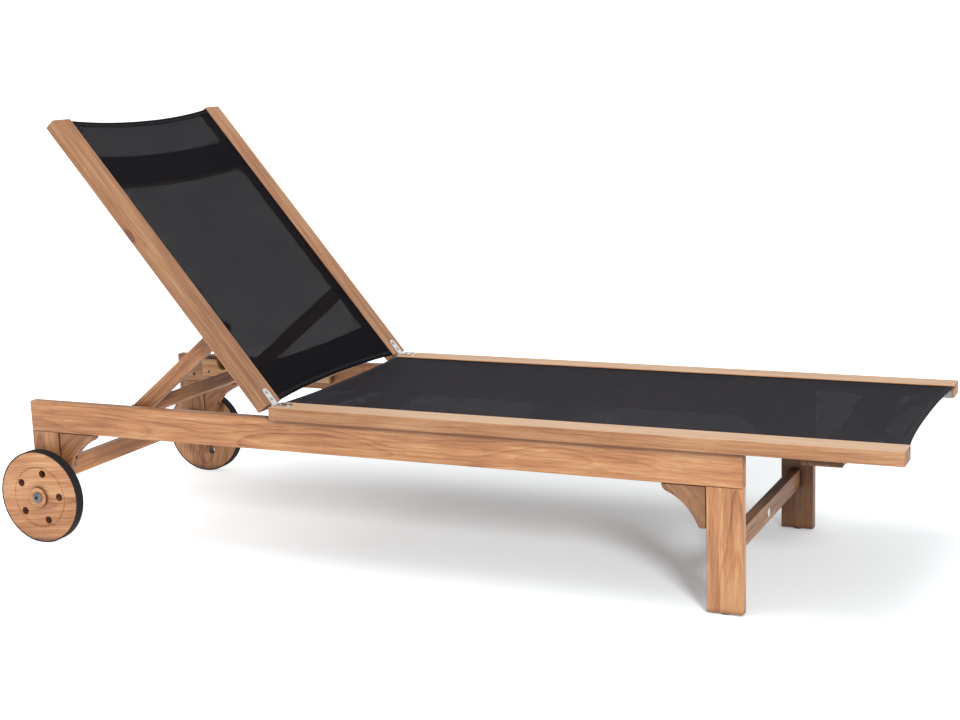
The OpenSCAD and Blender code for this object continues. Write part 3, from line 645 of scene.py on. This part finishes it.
BACK_TURN = (0.0, math.atan2(UP.z, UP.x), 0.0)
THREAD = (0.028, 0.027, 0.030)
seat_mats = [
    weave("seat_mesh", (0, 0, 0), open_share=0.005, yarn=SEAT_YARN_WITH_SHEEN, gloss=0.05),
    weave("seat_hem", (0, 0, 0), yarn=SEAT_HEM_YARN_WITH_HIGHLIGHT, gloss=0.08),
    rubber("thread", THREAD, 0.8),
]
back_mats = [
    weave("back_mesh", BACK_TURN, open_share=0.02),
    weave("back_hem", BACK_TURN),
    seat_mats[2],
]
sling(
    "seat_sling_sheet", "seat_sling", "base", Vector((1, 0, 0)), Z_AXIS,
    start_bow=0.003, end_bow=0.013, sag=0.005, mats=seat_mats,
)  # fmt: skip
sling(
    "back_sling_sheet", "back_sling", "backrest", UP, FACE,
    start_bow=0.012, end_bow=0.015, sag=0.006, mats=back_mats,
)  # fmt: skip


# ---- Screw and bolt heads ----


RECESS = 0.5


def recess_cross(x, y, r):
    arm, wide = 0.62 * r, 0.15 * r
    inside = max(min(arm - abs(x), wide - abs(y)), min(arm - abs(y), wide - abs(x)))
    return max(0.0, min(1.0, inside / (0.05 * r) + 0.5))


def heads(name, spots, radius, height, mat, body, recess=recess_cross, dome=0.6, turn=0.4, replace=()):
    """Heads at spots, each (base centre, outward direction): a rim, a domed top and a driver recess."""
    verts, faces = [], []
    rings, parts = 16, 40
    for n_spot, (centre, out) in enumerate(spots):
        centre, out = Vector(centre), Vector(out).normalized()
        side = out.orthogonal().normalized()
        side = Matrix.Rotation(turn + n_spot * 1.1, 3, out) @ side
        other = out.cross(side)
        first = len(verts)
        top = []
        for k in range(1, rings + 1):
            r = radius * k / rings
            for p in range(parts):
                a = 2 * math.pi * p / parts
                x, y = r * math.cos(a), r * math.sin(a)
                lift = height * (1 - dome * (r / radius) ** 2.4) - recess(x, y, radius) * height * RECESS
                top.append((x, y, lift))
        summit = (0.0, 0.0, height * (1 - RECESS * recess(0.0, 0.0, radius)))
        rim = [(x, y, 0.0) for x, y, _ in top[-parts:]]
        top = [summit] + top + rim
        verts += [centre + side * x + other * y + out * z for x, y, z in top]
        for p in range(parts):
            faces.append([first, first + 1 + p, first + 1 + (p + 1) % parts])
        for k in range(rings):
            for p in range(parts):
                a, b = first + 1 + k * parts + p, first + 1 + k * parts + (p + 1) % parts
                faces.append([a, a + parts, b + parts, b])
        faces.append([first + 1 + rings * parts + p for p in range(parts)][::-1])
    obj = make(name, verts, faces, mat, body)
    if replace:
        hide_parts(*replace)
    return obj


def tops(node, axis):
    """Middle of the outermost face of each round part of a CAD node, along axis."""
    mesh = nodes[node].data
    links = [[] for _ in mesh.vertices]
    for a, b in (e.vertices for e in mesh.edges):
        links[a].append(b)
        links[b].append(a)
    seen, found = set(), []
    for start in range(len(links)):
        if start in seen:
            continue
        group, queue = [], [start]
        seen.add(start)
        while queue:
            v = queue.pop()
            group.append(mesh.vertices[v].co)
            fresh = [w for w in links[v] if w not in seen]
            seen.update(fresh)
            queue += fresh
        reach = max(c.dot(axis) for c in group)
        face = [c for c in group if c.dot(axis) > reach - 1e-5]
        low = Vector([min(c[i] for c in face) for i in range(3)])
        high = Vector([max(c[i] for c in face) for i in range(3)])
        found.append((low + high) / 2)
    return found


def recess_none(x, y, r):
    return 0.0


SCREW_R, SCREW_H, SCREW_SUNK = 0.0040, 0.0017, 0.0010


def screw_heads(node, axis, body):
    """Oval-headed cross screws in a hinge leaf, in place of the CAD's plain ones."""
    spots = [(top - axis * SCREW_SUNK, axis) for top in tops(node, axis)]
    heads(node + "_crossed", spots, SCREW_R, SCREW_H, screw_steel, body, turn=0.7, replace=[node])


screw_heads("seat_hinge_screws", Z_AXIS, "base")
screw_heads("back_hinge_screws", FACE, "backrest")


# ---- Axle caps ----

CAP_T = 0.0035
CAP_H = 0.0041
# A dark dot in the middle of each cap: painted shade, standing in for the shadowed hole at the cap's centre
HOLE_SHADE_SUNK, HOLE_SHADE_H, HOLE_SHADE_SHARE = 0.0006, 0.0010, 0.34

cap_spots = []
for out in (Y_AXIS, -Y_AXIS):
    cap_spots += [(top - out * CAP_T, out) for top in tops("axle_caps", out) if top.dot(out) > 0]
cap_r = (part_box("axle_caps")[1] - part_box("axle_caps")[0]).z / 2
heads(
    "axle_cap_domes", cap_spots, cap_r, CAP_H, zinc, "base",
    recess=recess_none, dome=0.45, replace=["axle_caps"],
)  # fmt: skip
hole_shade_dots = [(spot + out * (CAP_H - HOLE_SHADE_SUNK), out) for spot, out in cap_spots]
hole_shade_r = cap_r * HOLE_SHADE_SHARE
heads("axle_cap_hole_shade", hole_shade_dots, hole_shade_r, HOLE_SHADE_H, dark_steel_and_hole_shade, "base", recess=recess_none, dome=0.5)


# ---- Floor, light and camera ----


FLOOR_HALF, FLOOR_GAP = 60.0, 0.0005
PAPER = (0.885, 0.925, 0.945, 1.0)
# The shade lies round this place, and fades out between these distances
SHADE_MIDDLE = (0.35, 0.15, 0.0)
SHADE_REACH = (0.55, 1.9)
FLOOR_GLOW = 0.20


def plain_floor():
    """White paper that glows a little, and more far away, so that it meets the backdrop without a line."""
    mesh = bpy.data.meshes.new("floor")
    corners = [(x * FLOOR_HALF, y * FLOOR_HALF, 0) for x, y in ((-1, -1), (1, -1), (1, 1), (-1, 1))]
    mesh.from_pydata(corners, [], [(0, 1, 2, 3)])
    mat, t = new_material("floor_paper")
    coord = t.nodes.new("ShaderNodeTexCoord").outputs["Object"]
    spread = add(t, "ShaderNodeVectorMath", {0: coord, 1: SHADE_MIDDLE}, operation="DISTANCE")
    glow = fit(t, spread.outputs["Value"], *SHADE_REACH, FLOOR_GLOW, 1.0, smooth=True)
    shader = surface(t, Base_Color=PAPER, Roughness=0.9, Emission_Color=(1, 1, 1, 1), Emission_Strength=glow)
    shader.inputs["Specular IOR Level"].default_value = 0.0
    mesh.materials.append(mat)
    obj = bpy.data.objects.new("floor", mesh)
    obj.location.z = cad_box[0].z - FLOOR_GAP
    scene.collection.objects.link(obj)


def softbox(name, place, target, size, power):
    data = bpy.data.lights.new(name, "AREA")
    data.shape, data.size, data.size_y = "RECTANGLE", size[0], size[1]
    data.energy = power
    obj = bpy.data.objects.new(name, data)
    obj.location = place
    obj.rotation_euler = (Vector(target) - Vector(place)).to_track_quat("-Z", "Y").to_euler()
    scene.collection.objects.link(obj)


plain_floor()
world = bpy.data.worlds.new("studio")
scene.world = world
world.use_nodes = True
wt = world.node_tree
wt.nodes.clear()
ambient = add(wt, "ShaderNodeBackground", {"Color": (1, 1, 1, 1), "Strength": 0.46})
backdrop = add(wt, "ShaderNodeBackground", {"Color": (1, 1, 1, 1), "Strength": 1.02})
rays = wt.nodes.new("ShaderNodeLightPath")
direct = calc(wt, "MAXIMUM", rays.outputs["Is Camera Ray"], rays.outputs["Is Glossy Ray"])
shown = add(wt, "ShaderNodeMixShader", {0: direct, 1: ambient.outputs[0], 2: backdrop.outputs[0]})
add(wt, "ShaderNodeOutputWorld", {0: shown.outputs[0]})
softbox("overhead", (0.2, -0.5, 3.0), (0.0, 0.0, 0.0), (2.4, 1.6), 42)
softbox("front_right", (3.9, -4.9, 3.0), (0.2, 0.0, 0.3), (1.2, 1.2), 380)

EYE = (1.5070, -3.1643, 1.0884)
YAW, PITCH, ROLL = (math.radians(a) for a in (24.74, -11.016, -2.01))
# Lens and sensor width, in millimetres
LENS, SENSOR = 60.27375, 36.0
data = bpy.data.cameras.new("camera")
data.sensor_width = SENSOR
data.lens = LENS
data.clip_start, data.clip_end = 0.05, 200.0
camera = bpy.data.objects.new("camera", data)
scene.collection.objects.link(camera)
ahead = Vector((-math.sin(YAW) * math.cos(PITCH), math.cos(YAW) * math.cos(PITCH), math.sin(PITCH)))
level = Vector((math.cos(YAW), math.sin(YAW), 0))
rise = level.cross(ahead)
right = level * math.cos(ROLL) + rise * math.sin(ROLL)
above = rise * math.cos(ROLL) - level * math.sin(ROLL)
turn = Matrix((right, above, -ahead)).transposed().to_4x4()
camera.matrix_world = Matrix.Translation(EYE) @ turn
scene.camera = camera
scene.view_settings.view_transform = "Standard"
scene.view_settings.look = "None"
